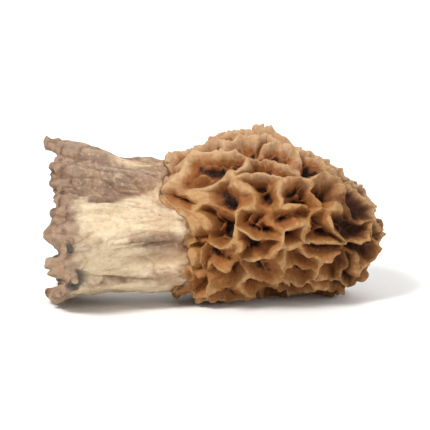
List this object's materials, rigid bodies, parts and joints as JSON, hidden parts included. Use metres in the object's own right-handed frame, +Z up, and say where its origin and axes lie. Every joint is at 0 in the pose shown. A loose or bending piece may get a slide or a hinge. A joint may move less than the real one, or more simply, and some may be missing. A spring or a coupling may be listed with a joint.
{
  "type": "morel mushroom",
  "caption": "Dried morel mushroom lying on its side: a blunt egg-shaped cap with a raised net of ridges and pits, on a wrinkled hollow stem with a flared, torn foot.",
  "frame": {"origin": "centre of the bounding box, on the surface that the mushroom lies on", "axes": "+X from the stem's cut end to the cap's tip, +Z up"},
  "size_m": [0.0368, 0.0248, 0.0183],
  "materials": {
    "dried_flesh": "dry and dull, orange-brown ridges with dark pits on the cap, pale cream on the stem"
  },
  "bodies": {
    "root": {"morel": "dried_flesh"}
  },
  "joints": []
}
